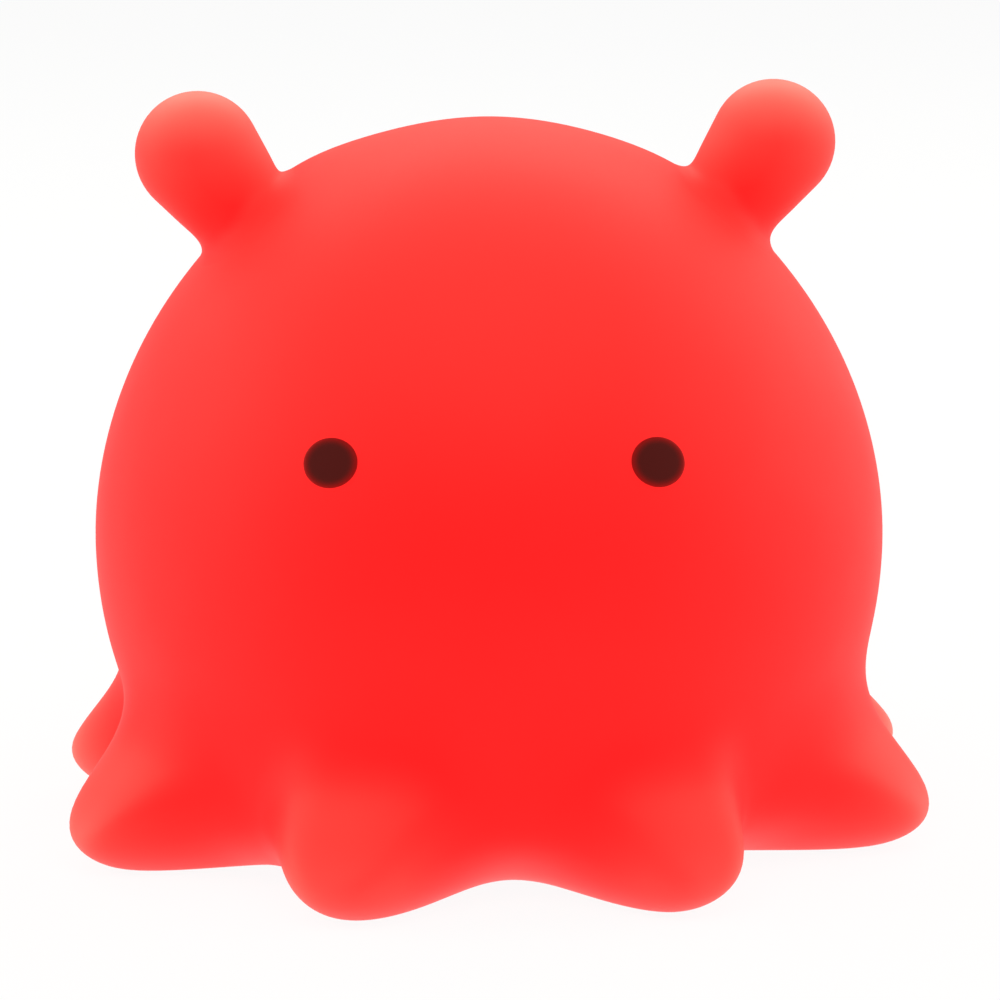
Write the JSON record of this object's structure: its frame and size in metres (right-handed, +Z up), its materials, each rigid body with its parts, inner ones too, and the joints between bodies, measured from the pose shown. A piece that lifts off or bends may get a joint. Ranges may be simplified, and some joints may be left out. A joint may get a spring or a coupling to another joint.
{
  "type": "soft octopus toy",
  "caption": "Squat soft-vinyl octopus squeeze toy with a domed mantle, club-shaped head fins, round inlaid eyes, stubby webbed arms and a squeaker in its flat base.",
  "frame": {"origin": "on the ground, under the middle of the toy", "axes": "+Z up along the mantle's axis, -Y out of the face, +X to the right as seen from the front"},
  "size_m": [0.085, 0.085, 0.0725],
  "materials": {
    "skin": "satin red soft vinyl with a fine moulded grain",
    "eye": "satin dark brown inlay",
    "squeaker_plastic": "plain white moulded plastic",
    "reed": "thin rolled strip"
  },
  "bodies": {
    "base": {"skirt_wall": "skin", "base_floor": "skin", "squeaker_body": "squeaker_plastic", "squeaker_cap": "squeaker_plastic", "squeaker_reed": "reed"},
    "crown": {"mantle_crown": "skin", "left_eye": "eye", "right_eye": "eye"},
    "left_fin": {"left_fin": "skin"},
    "right_fin": {"right_fin": "skin"},
    "arm_1": {"arm_1": "skin"},
    "arm_2": {"arm_2": "skin"},
    "arm_3": {"arm_3": "skin"},
    "arm_4": {"arm_4": "skin"},
    "arm_5": {"arm_5": "skin"},
    "arm_6": {"arm_6": "skin"},
    "arm_7": {"arm_7": "skin"},
    "arm_8": {"arm_8": "skin"}
  },
  "joints": [
    {"name": "squeeze", "type": "slide", "parent": "base", "child": "crown", "axis": [0, 0, -1], "range_m": [0, 0.008], "stiffness_N_per_m": 1100, "springref_m": -0.0005, "deforming": ["skirt_wall"]},
    {"name": "left_fin_flex", "type": "hinge", "parent": "crown", "child": "left_fin", "pos_m": [-0.02453, -0.00163, 0.06203], "axis": [0.0663, -0.9978, 0], "range_deg": [-18, 18], "stiffness_Nm_per_rad": 0.006},
    {"name": "right_fin_flex", "type": "hinge", "parent": "crown", "child": "right_fin", "pos_m": [0.02453, 0.00163, 0.06203], "axis": [-0.0663, 0.9978, 0], "range_deg": [-18, 18], "stiffness_Nm_per_rad": 0.006},
    {"name": "arm_1_lift", "type": "hinge", "parent": "base", "child": "arm_1", "pos_m": [0.01689, -0.03417, 0.01324], "axis": [-0.8965, -0.4431, 0], "range_deg": [0, 20], "stiffness_Nm_per_rad": 0.005},
    {"name": "arm_2_lift", "type": "hinge", "parent": "base", "child": "arm_2", "pos_m": [0.0361, -0.01222, 0.01324], "axis": [-0.3206, -0.9472, 0], "range_deg": [0, 20], "stiffness_Nm_per_rad": 0.005},
    {"name": "arm_3_lift", "type": "hinge", "parent": "base", "child": "arm_3", "pos_m": [0.03417, 0.01689, 0.01324], "axis": [0.4431, -0.8965, 0], "range_deg": [0, 20], "stiffness_Nm_per_rad": 0.005},
    {"name": "arm_4_lift", "type": "hinge", "parent": "base", "child": "arm_4", "pos_m": [0.01222, 0.0361, 0.01324], "axis": [0.9472, -0.3206, 0], "range_deg": [0, 20], "stiffness_Nm_per_rad": 0.005},
    {"name": "arm_5_lift", "type": "hinge", "parent": "base", "child": "arm_5", "pos_m": [-0.01689, 0.03417, 0.01324], "axis": [0.8965, 0.4431, 0], "range_deg": [0, 20], "stiffness_Nm_per_rad": 0.005},
    {"name": "arm_6_lift", "type": "hinge", "parent": "base", "child": "arm_6", "pos_m": [-0.0361, 0.01222, 0.01324], "axis": [0.3206, 0.9472, 0], "range_deg": [0, 20], "stiffness_Nm_per_rad": 0.005},
    {"name": "arm_7_lift", "type": "hinge", "parent": "base", "child": "arm_7", "pos_m": [-0.03417, -0.01689, 0.01324], "axis": [-0.4431, 0.8965, 0], "range_deg": [0, 20], "stiffness_Nm_per_rad": 0.005},
    {"name": "arm_8_lift", "type": "hinge", "parent": "base", "child": "arm_8", "pos_m": [-0.01222, -0.0361, 0.01324], "axis": [-0.9472, 0.3206, 0], "range_deg": [0, 20], "stiffness_Nm_per_rad": 0.005}
  ]
}
